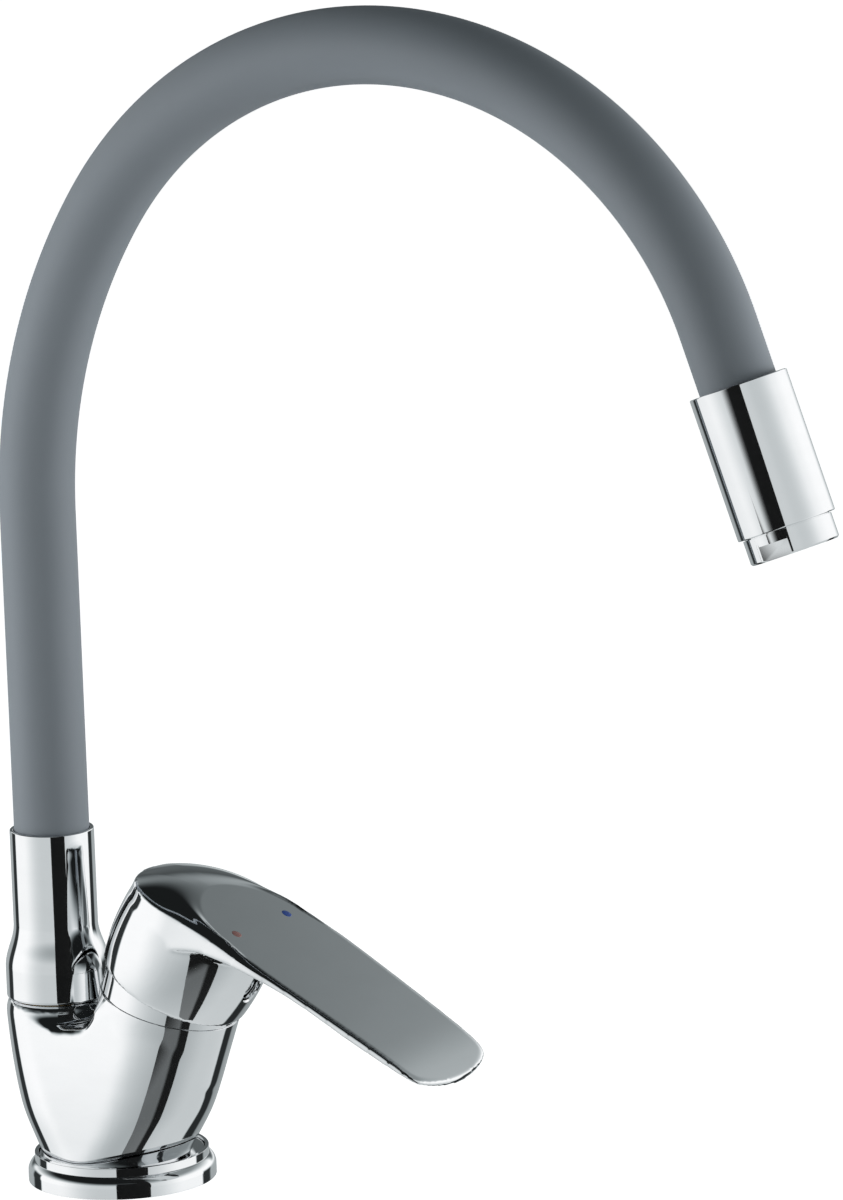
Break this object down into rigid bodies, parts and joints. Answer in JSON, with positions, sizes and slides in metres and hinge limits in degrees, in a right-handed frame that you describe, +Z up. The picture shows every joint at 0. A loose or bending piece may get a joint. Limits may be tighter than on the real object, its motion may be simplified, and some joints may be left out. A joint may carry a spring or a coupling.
{
  "type": "kitchen mixer tap",
  "caption": "Single-lever kitchen mixer tap with a Y-shaped chrome body, a flexible grey gooseneck spout that holds its shape, and a long flat lever.",
  "frame": {"origin": "centre of the base ring on the deck plane, which is also the lowest point of the part", "axes": "+Z up from the deck, +X forward, where the lever and the spout point, +Y to the cold side"},
  "size_m": [0.2705, 0.054, 0.3405],
  "materials": {
    "chrome": "polished chrome plate on brass or zinc",
    "grey_silicone": "smooth satin silicone",
    "black_rubber": "matt",
    "slide_plastic": "moulded",
    "raw_brass": "turned",
    "screw_steel": "turned",
    "gooseneck_steel": "drawn",
    "tube_plastic": "extruded",
    "aerator_plastic": "moulded",
    "cartridge_plastic": "moulded",
    "white_ceramic": "lapped",
    "red_mark": "enamel dot",
    "blue_mark": "enamel dot"
  },
  "bodies": {
    "base": {"base_ring": "chrome", "base_seal": "black_rubber", "mixer_body": "chrome", "swivel_slide_ring": "slide_plastic", "spout_lock_screw": "screw_steel", "cartridge_housing": "cartridge_plastic", "cartridge_base": "cartridge_plastic", "cartridge_seals": "black_rubber", "fixed_ceramic_disc": "white_ceramic", "cartridge_nut": "raw_brass", "cartridge_cover": "chrome"},
    "spout": {"spout_collar": "chrome", "spout_spigot": "raw_brass", "spigot_o_rings": "black_rubber", "spout_hose": "grey_silicone", "spout_gooseneck": "gooseneck_steel", "water_tube": "tube_plastic"},
    "outlet": {"outlet_sleeve": "chrome", "outlet_nipple": "raw_brass", "aerator_housing": "chrome", "aerator_insert": "aerator_plastic", "aerator_screen": "aerator_plastic", "aerator_washer": "black_rubber"},
    "rotor": {"stem_guide": "cartridge_plastic", "pivot_pin": "screw_steel"},
    "handle": {"lever": "chrome", "lever_clamp_screw": "screw_steel", "screw_plug": "chrome", "hot_mark": "red_mark", "cold_mark": "blue_mark", "cartridge_stem": "raw_brass"},
    "disc_carriage": {"disc_carrier": "cartridge_plastic", "moving_ceramic_disc": "white_ceramic"}
  },
  "joints": [
    {"name": "spout_swivel", "type": "hinge", "parent": "base", "child": "spout", "pos_m": [-0.0193, 0, 0.05], "axis": [0, 0, 1], "continuous": true},
    {"name": "spout_flex", "type": "hinge", "parent": "spout", "child": "outlet", "pos_m": [0.162, 0, 0.3098], "axis": [0, -1, 0], "range_deg": [-35, 45], "deforming": ["spout_hose", "spout_gooseneck", "water_tube"]},
    {"name": "lever_turn", "type": "hinge", "parent": "base", "child": "rotor", "pos_m": [0.0204, 0, 0.0592], "axis": [0.2924, 0, 0.9563], "range_deg": [-45, 45]},
    {"name": "lever_lift", "type": "hinge", "parent": "rotor", "child": "handle", "pos_m": [0.0204, 0, 0.0592], "axis": [0, -1, 0], "range_deg": [0, 24]},
    {"name": "disc_slide", "type": "slide", "parent": "rotor", "child": "disc_carriage", "axis": [0.9563, 0, -0.2924], "range_m": [0, 0.00855]}
  ],
  "couplings": [
    {"joint": "disc_slide", "follows": "lever_lift", "m_per_rad": 0.02035}
  ]
}
